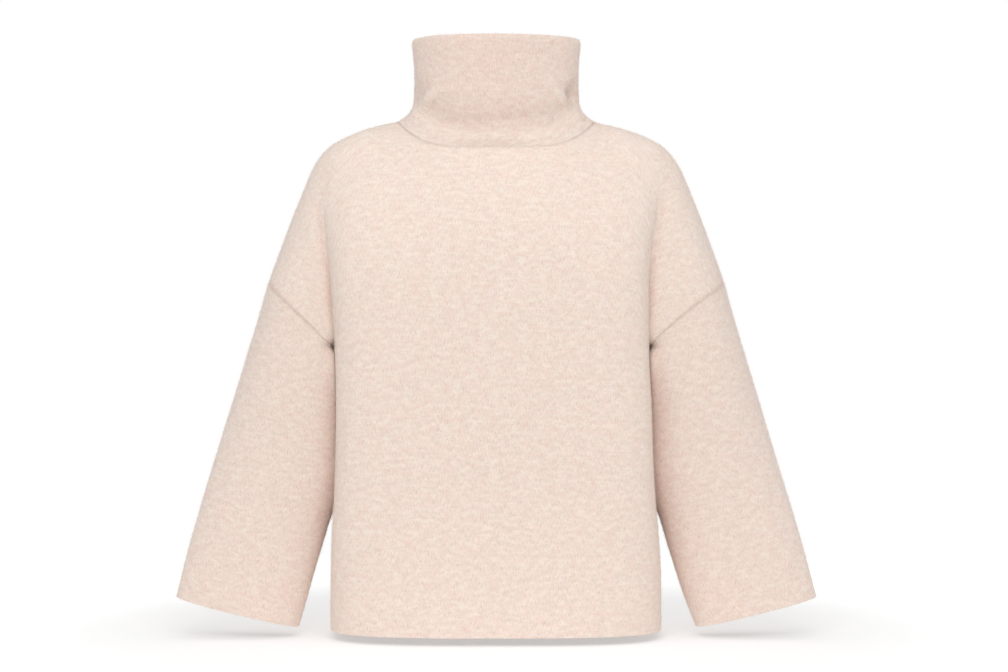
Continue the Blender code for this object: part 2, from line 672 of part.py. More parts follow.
def collar(front_neckline, back_neckline):
    """Tall stand-up collar: flares into its seam, rolls over it at the front, open at the top."""
    corners = np.concatenate((front_neckline, back_neckline[-2:0:-1]))
    corners[[0, 2 * NECK_COLUMNS], 1] = 0
    base = np.empty((2 * len(corners), 3))
    base[::2] = corners
    base[1::2] = (corners + np.roll(corners, -1, axis=0)) / 2
    angle = np.arctan2(base[:, 0] / NECK_WIDTH(0), -base[:, 1] / NECK_DEPTH(0))
    facing_front = np.clip(np.cos(angle), 0, 1) ** ROLL_POWER
    facing_back = np.clip(-np.cos(angle), 0, 1)
    rings = []
    for i in range(COLLAR_ROWS + 1):
        share = (i / COLLAR_ROWS) ** COLLAR_ROW_POWER
        above = share * (COLLAR_TOP_Z - base[:, 2])
        z = base[:, 2] + above
        direction = np.stack([np.sin(angle), -np.cos(angle)], axis=1)
        size = np.stack([NECK_WIDTH(z), NECK_DEPTH(z)], axis=1)
        middle = np.stack([np.zeros_like(z), -NECK_FORWARD(z)], axis=1)
        upright = direction * size + middle
        flare = (base[:, :2] - upright) * FLARE_SHARE(above)[:, None]
        roll = FRONT_ROLL(above) * (facing_front + BACK_ROLL * facing_back)
        fade = (np.clip(above / FOLD_FADE[0], 0, 1)
                * np.clip((COLLAR_TOP_Z - z) / FOLD_FADE[1], 0, 1))
        out = roll + fold_height(angle, z) * fade
        place = upright + flare + direction * out[:, None]
        rings.append(np.concatenate((place, z[:, None]), axis=1))
    rings = np.array(rings)
    rings[0] = base + unit(rings[1] - base) * SEAM_GAP
    cloth = Cloth()
    cloth.add_grid(rings, flipped=False, closed=True)
    corner_normals = neckline_normals(corners)
    between = unit(corner_normals + np.roll(corner_normals, -1, axis=0))
    cloth.hold_normals(rings[0, ::2], corner_normals)
    cloth.hold_normals(rings[0, 1::2], between)
    return cloth.solid("collar")


for old in list(bpy.data.objects):
    bpy.data.objects.remove(old, do_unlink=True)

front_neckline = panel("front")
back_neckline = panel("back")
sleeve("right")
sleeve("left")
collar(front_neckline, back_neckline)
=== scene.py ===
"""Mock neck sweater in its worn, hollow form, cut and sewn from a brushed wool knit.

Metres, front facing -Y, +X to the wearer's left, +Z up.  Tables are in millimetres.
"""
from collections import namedtuple

import bpy
import numpy as np
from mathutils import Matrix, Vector, noise


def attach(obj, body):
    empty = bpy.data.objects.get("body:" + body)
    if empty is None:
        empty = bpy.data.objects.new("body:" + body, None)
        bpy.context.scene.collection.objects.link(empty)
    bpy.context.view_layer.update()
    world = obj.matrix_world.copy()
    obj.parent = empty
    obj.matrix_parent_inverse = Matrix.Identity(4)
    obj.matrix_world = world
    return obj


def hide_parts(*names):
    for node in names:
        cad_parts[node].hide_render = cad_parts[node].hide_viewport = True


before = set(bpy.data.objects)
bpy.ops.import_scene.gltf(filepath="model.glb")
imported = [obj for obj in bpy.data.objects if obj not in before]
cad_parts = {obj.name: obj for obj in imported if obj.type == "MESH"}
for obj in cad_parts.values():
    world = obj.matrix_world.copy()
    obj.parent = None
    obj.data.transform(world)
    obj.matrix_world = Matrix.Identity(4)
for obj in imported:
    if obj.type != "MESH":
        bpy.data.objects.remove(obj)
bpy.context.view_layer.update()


def add_object(name, data):
    """A new object, put into the scene."""
    made = bpy.data.objects.new(name, data)
    bpy.context.scene.collection.objects.link(made)
    return made


# ---------------------------------------------------------------------------------------------
# Camera: level with the middle of the garment, straight in front of it, with a portrait lens.
CAMERA_PLACE = (0.009, -2.9, -0.249)
CAMERA_LENS = 87.8             # mm
SENSOR_WIDTH = 36              # mm

camera_data = bpy.data.cameras.new("camera")
camera_data.lens = CAMERA_LENS
camera_data.sensor_width = SENSOR_WIDTH
camera = add_object("camera", camera_data)
camera.location = CAMERA_PLACE
camera.rotation_euler = (np.pi / 2, 0, 0)
bpy.context.scene.camera = camera

# ---------------------------------------------------------------------------------------------
# Front and back panels.  Each is one width of heavy felted knit with a drop shoulder, so that it
# covers half the upper arm.  The two are sewn together at the sides and on top of the shoulders,
# and the hem is cut clean and steamed.
MM = 0.001
WALL = 2.8 * MM
SEAM_GAP = 0.05 * MM
HEM_Z = -592 * MM
PIT_Z = -262 * MM              # where side seam, sleeve seam and armhole meet
NECKLINE_Z = {"front": -32 * MM, "back": -12 * MM}
NECKLINE_POWER = {"front": 4.2, "back": 2.6}             # higher is flatter in the middle
NECK_X = 116 * MM

# Body sections: half width on the wearer's right and left, half depth to the front and the back.
# A higher power makes a flatter front with a tighter turn to the sides.
BodyRow = namedtuple("BodyRow", "z right left front back power")
BODY = [BodyRow(*row) for row in (
    (40, 216, 206, 118, 106, 3.5),
    (-50, 208, 197, 118, 107, 4.5),
    (-100, 205, 190, 119, 109, 6),
    (-150, 196.5, 180.5, 120, 111, 6),
    (-200, 191, 177, 121, 111.5, 6),
    (-262, 187, 177, 119.5, 111, 6),
    (-330, 185.5, 180, 118, 111, 6),
    (-390, 186.5, 182, 117, 112, 5.5),
    (-440, 188.5, 185, 116.5, 112.5, 5),
    (-480, 191, 188.5, 116.5, 113, 4.5),
    (-530, 193, 192, 116, 113, 3.8),
    (-592, 193.6, 192.6, 115.5, 112.5, 3.2),
)]

# The top edge seen from the front: inside the neck opening, along the shoulder seam, then down
# the outer fold of the sleeve to the cuff.
OutlineRow = namedtuple("OutlineRow", "x z")
INSIDE_NECK = [OutlineRow(0, 30), OutlineRow(50, 26), OutlineRow(88, 13)]
SHOULDER = [OutlineRow(*row) for row in (
    (116, 3.5),
    (131, 0),
    (154, -5.9),
    (170, -11.8),
    (182.7, -17.7),
    (193, -23.6),
    (201.5, -31),
    (209.8, -41.3),
    (216.4, -53),
    (226.2, -76.7),
    (235.4, -100),
    (253, -147.5),
    (267.3, -187),
)]
OUTER_SLEEVE = [OutlineRow(*row) for row in (
    (280, -230),
    (294.6, -277),
    (309, -324.5),
    (326.9, -383.5),
    (344.8, -442.5),
    (361.9, -501.5),
    (375, -554.5),
)]

# Inner line of the arm: fades into the chest above the armpit, becomes the sleeve's inner fold.
InnerRow = namedtuple("InnerRow", "z right left")
INNER_LINE = [InnerRow(*row) for row in (
    (0, 138, 130),
    (-40, 140, 128),
    (-75, 170, 154),
    (-110, 181, 164),
    (-150, 182.5, 166.5),
    (-200, 180, 165),
    (-235, 175, 163),
    (-250, 177, 166),
    (-262, 187, 177),
    (-272, 176, 169),
    (-300, 168, 164),
    (-350, 163, 165),
    (-400, 166, 168),
    (-430, 178, 178),
    (-460, 193.5, 191),
    (-490, 203, 200.6),
    (-548, 220.5, 219),
    (-589.5, 232.6, 234.3),
)]

# Arm sections: half depth, what the cloth drawn over from the chest adds to it at the inner line,
# and how far the sleeve's middle hangs to the front.
ArmRow = namedtuple("ArmRow", "z depth drawn forward")
ARM = [ArmRow(*row) for row in (
    (20, 52, 0, 0),
    (-50, 58, 3, 0),
    (-100, 64, 13, 0),
    (-150, 69, 20, 0),
    (-200, 72, 16, 0),
    (-262, 71, 15, 0),
    (-320, 65, 10, 2),
    (-380, 56, 4, 5),
    (-440, 47, 0, 8),
    (-500, 40, 0, 11),
    (-560, 36, 0, 13),
    (-600, 35, 0, 14),
)]

# Armhole seam on the front and the back, from the armpit to the shoulder seam's outer end.
ArmholeRow = namedtuple("ArmholeRow", "right left z")
ARMHOLE = [ArmholeRow(*row) for row in (
    (187, 177, -262),
    (200, 185.5, -250.5),
    (211, 198, -239),
    (225, 213, -226),
    (243, 235, -209.5),
    (267.3, 267.3, -187),
)]

ROWS_BELOW_PIT = 66
ROWS_ABOVE_PIT = 60
BODY_COLUMNS = 76
NECK_COLUMNS = 34              # of the body's columns, those that end on the neckline
FRONT_COLUMNS = 50             # of the body's columns, those on the flat front
ARM_COLUMNS = 20
FINE = 320                     # points along a line before the cloth is shared out evenly
TO_ONE_END = np.sin(np.linspace(0, np.pi / 2, FINE))           # shares of a line that lie closer
TO_BOTH_ENDS = (1 - np.cos(np.linspace(0, np.pi, FINE))) / 2   # towards its end, or both ends
SHOULDER_STEPS = 130
CREASE_ROW_POWER = 1.15        # over 1 brings the rows closer together at the armpit
HALVINGS = 40                  # in the search for the crease

TURN_X = 0.92                  # share of the half width where the front turns to the side
ARM_ROUNDING = 2.4
FOLD_ROUNDING = 3.5            # the upper arm turns in tightly beside the chest
FOLD_TIGHT_Z = (-340 * MM, -262 * MM)    # heights between which the inner fold tightens
SHOULDER_ROUNDING = 1.8
SHOULDER_FALL = 190 * MM       # below the shoulder line the body has its full depth
SHOULDER_CAP_RADIUS = (46 * MM, 53 * MM)
CREASE_RADIUS = (3 * MM, 24 * MM)        # at the armpit, and where it fades into the shoulder
CREASE_SOFT_Z = (-115 * MM, -45 * MM)    # heights between which it softens
ARM_SLOPE_COS = 0.956          # the arm hangs 17 degrees off the vertical
CREASE_TOP_X = 193 * MM        # where the crease's line meets the shoulder seam
CREASE_FADE = (-110 * MM, -45 * MM)      # heights between which the crease's line turns to there
ARMHOLE_LOWER_SHARE = 0.15     # of the seam, from the armpit to the arm block's lower corner
NECK_EDGE_LEAN = 0.8
SLOPE_STEP = 0.5 * MM
WELD = 0.01 * MM
TINY = 1e-9
NECK_SEAM_SHADE = 0.25         # painted shade, 0 to 1: darker colour along the neck seam, along the armhole seam, for the shade in the seams' grooves, and on the upper arm beside the crease above the armpit
ARMHOLE_SHADE = 0.6            # along the armhole seam,
CREASE_SHADE = 0.45            # and on the upper arm beside the crease above the armpit
CREASE_SHADE_WIDTH = 9 * MM
CREASE_SHADE_Z = ((0, -150 * MM), (PIT_Z, PIT_Z + 45 * MM))    # fades at the top and the armpit
CUT_EDGE_REACH = 1.2 * MM      # how far a free edge's rounding stands out from the flat cloth
SEAM_REACH = 0.1 * MM          # the same where two pieces are sewn together
RIM_STEPS = 5
RIM_ON_CLOTH = 1.5 * WALL      # the way round a cut edge, as the knit's pattern is laid on it

SIDES = {"right": -1.0, "left": 1.0}     # the wearer's right is at -X
FACES = {"front": -1.0, "back": 1.0}


def smooth_through(places, values):
    """A smooth curve through a table's rows that never overshoots between them."""
    order = np.argsort(places)
    x = np.array(places, float)[order] * MM
    y = np.array(values, float)[order]
    step = np.diff(x)
    slope = np.diff(y) / step
    tangent = np.empty_like(y)
    tangent[0] = slope[0]
    tangent[-1] = slope[-1]
    for i in range(1, len(y) - 1):
        before, after = slope[i - 1], slope[i]
        if before * after <= 0:
            tangent[i] = 0
            continue
        w_before = 2 * step[i] + step[i - 1]
        w_after = step[i] + 2 * step[i - 1]
        tangent[i] = (w_before + w_after) / (w_before / before + w_after / after)

    def value(at):
        at = np.clip(at, x[0], x[-1])
        i = np.clip(np.searchsorted(x, at, side="right") - 1, 0, len(step) - 1)
        s = (at - x[i]) / step[i]
        rise = y[i] * (1 + 2 * s) * (1 - s) ** 2 + y[i + 1] * s * s * (3 - 2 * s)
        lean = tangent[i] * s * (1 - s) ** 2 + tangent[i + 1] * s * s * (s - 1)
        return rise + lean * step[i]

    return value


def column(rows, name, along="z", scale=MM):
    """The smooth curve through one column of a table, in metres unless scaled otherwise."""
    places = [getattr(row, along) for row in rows]
    curve = smooth_through(places, [getattr(row, name) for row in rows])
    return lambda at: curve(at) * scale


def run_along(points):
    """Length along a line of points, or along each of several lines."""
    steps = np.linalg.norm(np.diff(points, axis=0), axis=-1)
    return np.concatenate((np.zeros_like(steps[:1]), np.cumsum(steps, axis=0)))


def laid_flat(grid):
    """Where a grid's points lie on the flat cloth, by lengths along its rows and columns."""
    return np.stack([run_along(grid.transpose(1, 0, 2)).T, run_along(grid)], axis=-1)


def with_depth(line, depth):
    """Points in space from a line seen from the front and a depth for each of its points."""
    return np.stack([line[:, 0], depth, line[:, 1]], axis=1)


def polyline(rows, steps):
    """Evenly spaced points of the smooth curve through rows of x and z."""
    corners = np.array([(row.x, row.z) for row in rows]) * MM
    run = run_along(corners)
    at = np.linspace(0, run[-1], steps + 1)
    return np.stack([smooth_through(run / MM, corners[:, k])(at) for k in (0, 1)], axis=1)


BODY_WIDTH = {side: column(BODY, side) for side in SIDES}
BODY_DEPTH = {face: column(BODY, face) for face in FACES}
BODY_POWER = column(BODY, "power", scale=1)
INNER_X = {side: column(INNER_LINE, side) for side in SIDES}
ARM_DEPTH = column(ARM, "depth")
ARM_DRAWN = column(ARM, "drawn")
ARM_FORWARD = column(ARM, "forward")
SHOULDER_Z = column(INSIDE_NECK + SHOULDER, "z", along="x")
OUTER_EDGE = polyline(SHOULDER + OUTER_SLEEVE, 2 * SHOULDER_STEPS)
SHOULDER_SEAM = polyline(SHOULDER, SHOULDER_STEPS)


def rounded(share, power):
    """Rises from 0 at an edge to 1 inside, along a superellipse."""
    inside = 1 - np.clip(share, 0, 1)
    return (1 - inside ** power) ** (1 / power)


def eased(value, start, end):
    """Rises smoothly from 0 at start to 1 at end."""
    share = np.clip((value - start) / (end - start), 0, 1)
    return share * share * (3 - 2 * share)


def soft_max(a, b, radius):
    """The larger of the two, with the crease where they cross rounded off."""
    reach = np.maximum(np.minimum(radius, np.maximum(a, b)), TINY)
    overlap = np.maximum(reach - np.abs(a - b), 0) / reach
    return np.maximum(a, b) + overlap ** 2 * reach / 4


def distance_to_outer_edge(x, z):
    """Distance of each point to the garment's outer line; x counts away from the middle."""
    start, end = OUTER_EDGE[:-1], OUTER_EDGE[1:]
    along = end - start
    points = np.stack([x, z], axis=-1)[..., None, :]
    share = ((points - start) * along).sum(-1) / (along ** 2).sum(-1)
    nearest = start + np.clip(share, 0, 1)[..., None] * along
    return np.sqrt(((points - nearest) ** 2).sum(-1)).min(-1)


def arm_depth(x, z, side):
    """Half depth of the arm's tube at a point seen from the front."""
    to_outer = distance_to_outer_edge(x, z)
    to_inner = np.maximum(x - INNER_X[side](z), 0) * ARM_SLOPE_COS
    radius = (to_outer + to_inner) / 2
    radius = np.where(z > PIT_Z, np.clip(radius, *SHOULDER_CAP_RADIUS), radius)
    radius = np.maximum(radius, TINY)
    tight = ARM_ROUNDING + (FOLD_ROUNDING - ARM_ROUNDING) * eased(z, *FOLD_TIGHT_Z)
    edges = rounded(to_outer / radius, ARM_ROUNDING) * rounded(to_inner / radius, tight)
    drawn = ARM_DRAWN(z) * np.clip(1 - to_inner / radius, 0, 1) ** 2
    return (ARM_DEPTH(z) + drawn) * edges


def trunk_depth(x, z, side, face):
    """Half depth of the body without its arms."""
    across = rounded(1 - x / BODY_WIDTH[side](z), BODY_POWER(z))
    below_shoulder = (SHOULDER_Z(x) - z) / SHOULDER_FALL
    return BODY_DEPTH[face](z) * across * rounded(below_shoulder, SHOULDER_ROUNDING)


def body_depth(x, z, side, face):
    """Half depth of body and upper arm together, with the crease between them."""
    trunk = trunk_depth(x, z, side, face)
    above_pit = z > PIT_Z
    arm = np.where(above_pit, arm_depth(x, z, side), 0)
    radius = CREASE_RADIUS[0] + (CREASE_RADIUS[1] - CREASE_RADIUS[0]) * eased(z, *CREASE_SOFT_Z)
    return np.where(above_pit, soft_max(trunk, arm, radius), trunk)


def share_out(points, fractions):
    """Points at the given shares of a line's length."""
    run = run_along(points)
    return np.stack([np.interp(fractions * run[-1], run, points[:, k]) for k in range(3)], axis=1)


def armhole_seam(side):
    """Points of the armhole seam from the armpit to the shoulder seam, y as a half depth."""
    corners = np.array([(getattr(row, side), row.z) for row in ARMHOLE]) * MM
    run = run_along(corners)
    at = run[-1] * TO_BOTH_ENDS
    x, z = (smooth_through(run / MM, corners[:, k])(at) for k in (0, 1))
    depth = arm_depth(x, z, side)
    depth[0] = depth[-1] = 0
    lower = np.linspace(0, ARMHOLE_LOWER_SHARE, ARM_COLUMNS + 1)
    upper = np.linspace(ARMHOLE_LOWER_SHARE, 1, ROWS_ABOVE_PIT + 1)
    return share_out(np.stack([x, depth, z], axis=1), np.concatenate((lower, upper[1:])))


def crease_line(side, face):
    """The deepest line between chest and arm, from the armpit up to the shoulder seam."""
    top_z = float(SHOULDER_Z(CREASE_TOP_X))
    share = np.linspace(0, 1, ROWS_ABOVE_PIT + 1) ** CREASE_ROW_POWER
    z = PIT_Z + (top_z - PIT_Z) * share
    low, high = INNER_X[side](z), BODY_WIDTH[side](z)
    for _ in range(HALVINGS):
        middle = (low + high) / 2
        on_trunk = trunk_depth(middle, z, side, face) > arm_depth(middle, z, side)
        low, high = np.where(on_trunk, middle, low), np.where(on_trunk, high, middle)
    fade = eased(z, *CREASE_FADE)
    x = (1 - fade) * low + fade * CREASE_TOP_X
    return np.stack([x, z], axis=1)


def neckline(face):
    """The neckline's x and z from the middle to the shoulder."""
    rise = (SHOULDER[0].z * MM - NECKLINE_Z[face]) * TO_ONE_END ** NECKLINE_POWER[face]
    return np.stack([TO_ONE_END * NECK_X, NECKLINE_Z[face] + rise], axis=1)


def cloth_row(line, depth, fractions, side, face, kept=()):
    """Cloth points shared out along a line seen from the front; kept ones stay as they are."""
    row = share_out(with_depth(line, depth), fractions)
    moved = np.setdiff1d(np.arange(len(row)), np.arange(len(row))[list(kept)])
    row[moved, 1] = body_depth(row[moved, 0], row[moved, 2], side, face)
    return row


def turn_share(line, depth, width):
    """Share of a row's length at which the flat front turns to the side."""
    run = run_along(with_depth(line, depth))
    return np.interp(TURN_X * width, line[:, 0], run) / run[-1]


def body_block(side, face):
    """Rows from the hem to the shoulder, columns from the middle to side seam and crease."""
    rows = []
    for z in np.linspace(HEM_Z, PIT_Z, ROWS_BELOW_PIT + 1):
        line = np.stack([TO_ONE_END * BODY_WIDTH[side](z), np.full(FINE, z)], axis=1)
        depth = trunk_depth(line[:, 0], line[:, 1], side, face)
        depth[-1] = 0
        turn = turn_share(line, depth, BODY_WIDTH[side](z))
        fractions = np.concatenate((np.linspace(0, turn, FRONT_COLUMNS + 1),
                                    np.linspace(turn, 1, BODY_COLUMNS - FRONT_COLUMNS + 1)[1:]))
        rows.append(cloth_row(line, depth, fractions, side, face, kept=[-1]))
    pit_row = line
    crease = crease_line(side, face)
    inside_crease = SHOULDER_SEAM[SHOULDER_SEAM[:, 0] < CREASE_TOP_X]
    neck = neckline(face)
    top = np.concatenate((neck, inside_crease[1:], crease[-1:]))
    corner = len(neck) - 1
    neck_share = NECK_COLUMNS / BODY_COLUMNS
    share = np.concatenate((np.linspace(0, neck_share, corner + 1),
                            np.linspace(neck_share, 1, len(top) - corner)[1:]))
    low = np.stack([np.interp(share, np.linspace(0, 1, FINE), pit_row[:, k]) for k in (0, 1)],
                   axis=1)
    for i in range(1, ROWS_ABOVE_PIT + 1):
        t = i / ROWS_ABOVE_PIT
        straight = (1 - t) * low + t * top
        line = straight + share[:, None] * (crease[i] - straight[-1])
        depth = body_depth(line[:, 0], line[:, 1], side, face)
        last = i == ROWS_ABOVE_PIT
        if last:
            depth[corner:] = 0
        length = run_along(with_depth(line, depth))
        turn = turn_share(line, depth, BODY_WIDTH[side](crease[i, 1]))
        ease = t * t * (3 - 2 * t)
        neck_at = ((1 - ease) * turn * NECK_COLUMNS / FRONT_COLUMNS
                   + ease * length[corner] / length[-1])
        beyond = (FRONT_COLUMNS - NECK_COLUMNS) / (BODY_COLUMNS - NECK_COLUMNS)
        turn = (1 - ease) * turn + ease * (neck_at + (1 - neck_at) * beyond)
        fractions = np.concatenate((
            np.linspace(0, neck_at, NECK_COLUMNS + 1),
            np.linspace(neck_at, turn, FRONT_COLUMNS - NECK_COLUMNS + 1)[1:],
            np.linspace(turn, 1, BODY_COLUMNS - FRONT_COLUMNS + 1)[1:]))
        kept = range(NECK_COLUMNS, BODY_COLUMNS + 1) if last else ()
        rows.append(cloth_row(line, depth, fractions, side, face, kept))
    return np.array(rows)


def drawn_over(first, last, t, start, end):
    """A line part of the way from first to last, pulled over so that it joins start and end."""
    between = (1 - t) * first + t * last
    share = TO_BOTH_ENDS[:, None]
    return between + (1 - share) * (start - between[0]) + share * (end - between[-1])


def arm_block(side, face, crease_points):
    """Rows from the armhole's lower part to the shoulder seam, columns from crease to armhole."""
    seam = armhole_seam(side)
    rows = [seam[:ARM_COLUMNS + 1]]
    low = share_out(seam[:ARM_COLUMNS + 1], TO_BOTH_ENDS)[:, [0, 2]]
    outside_crease = SHOULDER_SEAM[SHOULDER_SEAM[:, 0] > CREASE_TOP_X]
    top = np.concatenate((crease_points[-1:, [0, 2]], outside_crease))
    top = share_out(with_depth(top, top[:, 0] * 0), TO_BOTH_ENDS)[:, [0, 2]]
    even = np.linspace(0, 1, ARM_COLUMNS + 1)
    for i in range(1, ROWS_ABOVE_PIT + 1):
        start, end = crease_points[i], seam[ARM_COLUMNS + i]
        line = drawn_over(low, top, i / ROWS_ABOVE_PIT, start[[0, 2]], end[[0, 2]])
        last = i == ROWS_ABOVE_PIT
        depth = np.zeros(FINE) if last else body_depth(line[:, 0], line[:, 1], side, face)
        depth[0], depth[-1] = start[1], end[1]
        kept = range(ARM_COLUMNS + 1) if last else (0, -1)
        rows.append(cloth_row(line, depth, even, side, face, kept))
        rows[-1][0], rows[-1][-1] = start, end
    rows = np.array(rows)
    rows[0, 0] = crease_points[0]
    return rows


def unit(vectors):
    return vectors / np.maximum(np.linalg.norm(vectors, axis=-1, keepdims=True), TINY)


# Unevenness of steamed cloth that hangs: slow waves, longer down the cloth than across it.
WAVE_LENGTHS = (95 * MM, 41 * MM)
WAVE_HEIGHTS = (1.5 * MM, 0.55 * MM)
WAVE_STRETCH = 2.1
PRESSED_REACH = 14 * MM        # no waves where sleeve and body lie against each other, and
SIDEWAYS = (0.55, 0.9)         # their cloth faces the side


def trunk_side(y, z, side):
    """Half width of the body's side at a depth, where the sleeve lies against it."""
    depth = np.where(y < 0, BODY_DEPTH["front"](z), BODY_DEPTH["back"](z))
    share = np.clip(np.abs(y) / depth, 0, 1)
    power = BODY_POWER(z)
    return BODY_WIDTH[side](z) * (1 - share ** power) ** (1 / power)


def from_trunk(points):
    """How far outside the body's sides each point lies."""
    x, y, z = np.moveaxis(points, -1, 0)
    return np.abs(x) - np.where(x < 0, trunk_side(y, z, "right"), trunk_side(y, z, "left"))


def unevenness(points, normals):
    """Height of the slow waves at each point, the same for two pieces where they meet."""
    pressed = (eased(from_trunk(points), PRESSED_REACH, 0)
               * eased(np.abs(normals[:, 0]), *SIDEWAYS))
    heights = np.zeros(len(points))
    for length, height in zip(WAVE_LENGTHS, WAVE_HEIGHTS):
        scaled = points / (length, length, length * WAVE_STRETCH)
        heights += height * np.array([noise.noise(Vector(place)) for place in scaled])
    return heights * (1 - pressed)


class Cloth:
    """One piece, gathered from grids that share their edge points."""

    def __init__(self):
        self.points = []
        self.faces = []
        self.maps = []             # for each face, where its corners lie on the flat cloth
        self.numbers = {}
        self.held = {}
        self.shades = {}

    def number(self, point):
        """A point's number, the same for points that agree to WELD."""
        key = tuple(int(round(value)) for value in np.asarray(point) / WELD)
        if key not in self.numbers:
            self.numbers[key] = len(self.points)
            self.points.append(np.array(point, float))
        return self.numbers[key]

    def add_grid(self, grid, flat, flipped, closed=False):
        """Rows run up; columns run to the right seen from outside, unless flipped."""
        numbers = [[self.number(point) for point in row] for row in grid]
        columns = len(numbers[0])
        for r in range(len(numbers) - 1):
            below, above = numbers[r], numbers[r + 1]
            for c in range(columns if closed else columns - 1):
                d = (c + 1) % columns
                corners = {}
                for number, place in ((below[c], flat[r][c]), (below[d], flat[r][c + 1]),
                                      (above[d], flat[r + 1][c + 1]), (above[c], flat[r + 1][c])):
                    corners.setdefault(number, place)
                face = list(corners)
                if flipped:
                    face.reverse()
                self.faces.append(face)
                self.maps.append([corners[number] for number in face])

    def hold_normals(self, points, normals):
        """Edges that meet another piece lean as that piece's edges do."""
        for point, normal in zip(points, normals):
            self.held[self.number(point)] = np.array(normal, float)

    def level_normals(self, points):
        """Edges on the side and shoulder seams lean neither to the front nor to the back."""
        for point in points:
            self.held[self.number(point)] = None

    def shade(self, points, shares):
        """Painted shade at each point, 0 to 1: how much the wool's colour is darkened there."""
        for point, share in zip(np.reshape(points, (-1, 3)), np.ravel(shares)):
            self.shades[self.number(point)] = share

    def normals(self, points):
        """The points' normals, with those of the sewn edges as they are held."""
        normals = np.zeros_like(points)
        for size in (3, 4):
            faces = np.array([face for face in self.faces if len(face) == size])
            for k in range(size if len(faces) else 0):
                at = faces[:, k]
                ahead = points[faces[:, (k + 1) % size]] - points[at]
                behind = points[faces[:, k - 1]] - points[at]
                cross = np.cross(ahead, behind)
                turn = np.arctan2(np.linalg.norm(cross, axis=1), (ahead * behind).sum(axis=1))
                np.add.at(normals, at, unit(cross) * turn[:, None])
        for number, normal in self.held.items():
            level = normals[number] * (1, 0, 1)
            normals[number] = level if normal is None else normal
        return unit(normals)

    def shell(self, name):
        """The piece as an object: an uneven wall, WALL thick, with rounded edges."""
        points = np.array(self.points)
        normals = self.normals(points)
        points += normals * unevenness(points, normals)[:, None]
        normals = self.normals(points)
        edges = {}
        for face, flat in zip(self.faces, self.maps):
            for k in range(len(face)):
                edges[face[k - 1], face[k]] = (flat[k - 1], flat[k])
        rim = {pair: flat for pair, flat in edges.items() if pair[::-1] not in edges}
        rim_points = sorted({number for pair in rim for number in pair})
        outward = np.zeros_like(points)
        for start, end in rim:
            across = np.cross(points[end] - points[start], normals[start] + normals[end])
            outward[start] += across
            outward[end] += across
        outward = unit(outward)
        reach = np.full((len(points), 1), CUT_EDGE_REACH)
        reach[list(self.held)] = SEAM_REACH
        shades = np.zeros(len(points))
        shades[list(self.shades)] = list(self.shades.values())
        rings = [np.arange(len(points))]
        outer = points - outward * reach
        vertices = [outer]
        facing = [normals]
        painted_shade_rings = [shades]
        count = len(points)
        for k in range(1, RIM_STEPS):
            angle = np.pi * k / RIM_STEPS
            ring = np.full(len(points), -1)
            ring[rim_points] = count + np.arange(len(rim_points))
            rings.append(ring)
            count += len(rim_points)
            bulge = outward * reach * np.sin(angle) - normals * WALL / 2 * (1 - np.cos(angle))
            vertices.append((outer + bulge)[rim_points])
            turned = outward * np.sin(angle) + normals * np.cos(angle)
            facing.append(unit(turned)[rim_points])
            painted_shade_rings.append(shades[rim_points])
        rings.append(np.arange(len(points)) + count)
        vertices.append(outer - normals * WALL)
        facing.append(-normals)
        painted_shade_rings.append(shades)
        faces = [list(face) for face in self.faces]
        maps = list(self.maps)
        is_outer = [1.0] * len(faces)
        step = np.array((0, RIM_ON_CLOTH / RIM_STEPS))
        for k, (above, below) in enumerate(zip(rings, rings[1:])):
            for (start, end), (flat_start, flat_end) in rim.items():
                faces.append([above[end], above[start], below[start], below[end]])
                maps.append([flat_end + k * step, flat_start + k * step,
                             flat_start + (k + 1) * step, flat_end + (k + 1) * step])
                is_outer.append(1.0)
        for face, flat in zip(self.faces, self.maps):
            faces.append([rings[-1][number] for number in reversed(face)])
            maps.append(flat[::-1])
            is_outer.append(0.0)
        mesh = bpy.data.meshes.new(name)
        mesh.from_pydata(np.concatenate(vertices), [], faces)
        layer = mesh.uv_layers.new(name="cloth")
        layer.uv.foreach_set("vector", np.concatenate([np.ravel(flat) for flat in maps]))
        mesh.attributes.new("outside", "FLOAT", "FACE").data.foreach_set("value", is_outer)
        painted_shade_rings = np.concatenate(painted_shade_rings)
        mesh.attributes.new("shade", "FLOAT", "POINT").data.foreach_set("value", painted_shade_rings)
        mesh.shade_smooth()
        mesh.normals_split_custom_set_from_vertices(np.concatenate(facing))
        return add_object(name, mesh)


def seam_normals(side, seam):
    """Cloth normals along the armhole seam, from the arm's own form."""
    x, z = seam[:, 0], seam[:, 2]
    step = SLOPE_STEP
    slope_x = (arm_depth(x + step, z, side) - arm_depth(x - step, z, side)) / (2 * step)
    slope_z = (arm_depth(x, z + step, side) - arm_depth(x, z - step, side)) / (2 * step)
    normals = np.stack([-slope_x, np.ones(len(x)), -slope_z], axis=1)
    normals[0] = (-1, 0, 0)
    normals[-1] = (ARM_SLOPE_COS, 0, np.sqrt(1 - ARM_SLOPE_COS ** 2))
    return unit(normals)


def neckline_normals(points):
    """Where body and collar are sewn the cloth's edge leans half way between the two."""
    outward = points * (1, 1, 0)
    return unit(unit(outward) + (0, 0, NECK_EDGE_LEAN))


class Wire:
    """A value that runs through a material's nodes.  Arithmetic on it adds Math nodes."""

    def __init__(self, tree, socket):
        self.tree, self.socket = tree, socket

    def math(self, operation, *values):
        return add_node(self.tree, "ShaderNodeMath", {"operation": operation},
                        dict(enumerate(values)))

    def __add__(self, other):
        return self.math("ADD", self, other)

    def __sub__(self, other):
        return self.math("SUBTRACT", self, other)

    def __rsub__(self, other):
        return self.math("SUBTRACT", other, self)

    def __mul__(self, other):
        return self.math("MULTIPLY", self, other)

    __radd__ = __add__
    __rmul__ = __mul__


